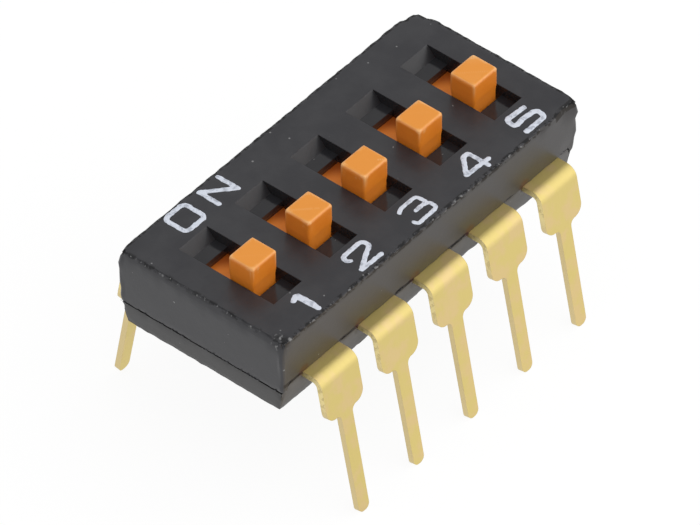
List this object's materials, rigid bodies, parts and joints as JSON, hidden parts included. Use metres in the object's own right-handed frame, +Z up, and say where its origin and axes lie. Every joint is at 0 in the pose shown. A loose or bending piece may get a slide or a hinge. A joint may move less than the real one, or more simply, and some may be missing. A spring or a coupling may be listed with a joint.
{
  "type": "dip switch",
  "caption": "Slide switch block for a circuit board: raised knobs in a row of slots on a flat black housing, with formed gold terminals along both sides.",
  "frame": {"origin": "centre of the housing's flat underside, midway between the two rows of terminals and at the middle pole", "axes": "+X along the row of poles from pole 1 to pole 5, +Y towards the ON side, the way the knobs slide to switch on, +Z up out of the top face"},
  "size_m": [0.0136, 0.0096, 0.008],
  "materials": {
    "housing": "satin moulded black plastic",
    "knob": "satin moulded orange plastic",
    "gold": "thin gold plating on stamped strip"
  },
  "bodies": {
    "housing": {"base": "housing", "cover": "housing", "front_terminal_1": "gold", "front_terminal_2": "gold", "front_terminal_3": "gold", "front_terminal_4": "gold", "front_terminal_5": "gold", "rear_terminal_1": "gold", "rear_terminal_2": "gold", "rear_terminal_3": "gold", "rear_terminal_4": "gold", "rear_terminal_5": "gold"},
    "switch_1": {"slider_1": "knob", "contact_1": "gold"},
    "switch_2": {"slider_2": "knob", "contact_2": "gold"},
    "switch_3": {"slider_3": "knob", "contact_3": "gold"},
    "switch_4": {"slider_4": "knob", "contact_4": "gold"},
    "switch_5": {"slider_5": "knob", "contact_5": "gold"}
  },
  "joints": [
    {"name": "switch_1_slide", "type": "slide", "parent": "housing", "child": "switch_1", "axis": [0, 1, 0], "range_m": [0, 0.0011]},
    {"name": "switch_2_slide", "type": "slide", "parent": "housing", "child": "switch_2", "axis": [0, 1, 0], "range_m": [0, 0.0011]},
    {"name": "switch_3_slide", "type": "slide", "parent": "housing", "child": "switch_3", "axis": [0, 1, 0], "range_m": [0, 0.0011]},
    {"name": "switch_4_slide", "type": "slide", "parent": "housing", "child": "switch_4", "axis": [0, 1, 0], "range_m": [0, 0.0011]},
    {"name": "switch_5_slide", "type": "slide", "parent": "housing", "child": "switch_5", "axis": [0, 1, 0], "range_m": [0, 0.0011]}
  ]
}
